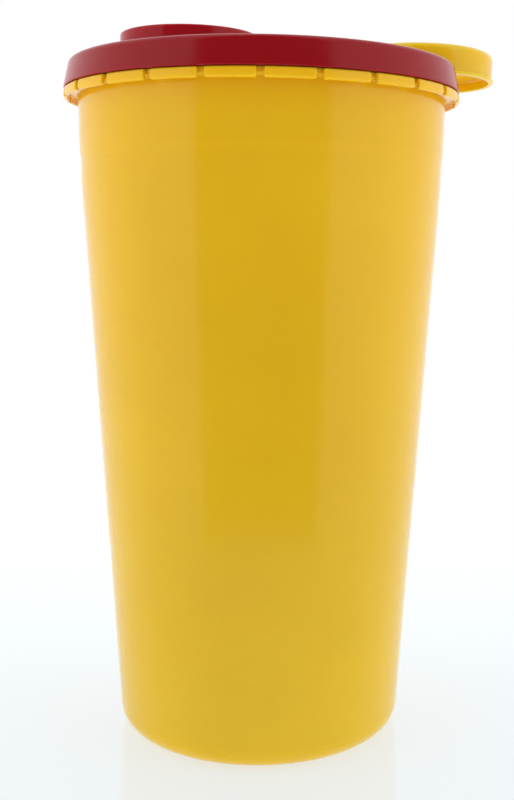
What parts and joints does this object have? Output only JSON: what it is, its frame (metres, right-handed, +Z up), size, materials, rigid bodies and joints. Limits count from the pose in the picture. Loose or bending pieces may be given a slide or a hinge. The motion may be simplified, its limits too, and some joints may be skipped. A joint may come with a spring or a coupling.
{
  "type": "sharps container",
  "caption": "Tall tapered round sharps container with a slotted guard ring, a press-on lid with an off-centre drop collar, and a captive round closure cap folded open.",
  "frame": {"origin": "centre of the cup's flat base, on the plane that it stands on", "axes": "+Z up along the cup's axis, -Y towards the front, +X to the right with the open closure cap on the right and a little behind"},
  "size_m": [0.1501, 0.1318, 0.238],
  "materials": {
    "body_plastic": "yellow moulded polypropylene, glossy, slightly translucent",
    "lid_plastic": "deep red moulded polypropylene, glossy",
    "closure_plastic": "yellow moulded polypropylene, glossy, slightly translucent"
  },
  "bodies": {
    "container": {"container_body": "body_plastic"},
    "lid": {"lid": "lid_plastic", "needle_stripper": "lid_plastic"},
    "tether": {"tether": "closure_plastic", "hinge_pin": "closure_plastic"},
    "closure": {"closure_cap": "closure_plastic"}
  },
  "joints": [
    {"name": "lid_lift", "type": "slide", "parent": "container", "child": "lid", "axis": [0, 0, 1], "range_m": [0, 0.03]},
    {"name": "tether_turn", "type": "hinge", "parent": "lid", "child": "tether", "pos_m": [-0.0235, -0.015, 0.2269], "axis": [0, 0, 1], "continuous": true},
    {"name": "cap_flip", "type": "hinge", "parent": "tether", "child": "closure", "pos_m": [0.01742, 0.00853, 0.23398], "axis": [0.4985, -0.8669, 0], "range_deg": [0, 181.9]}
  ]
}
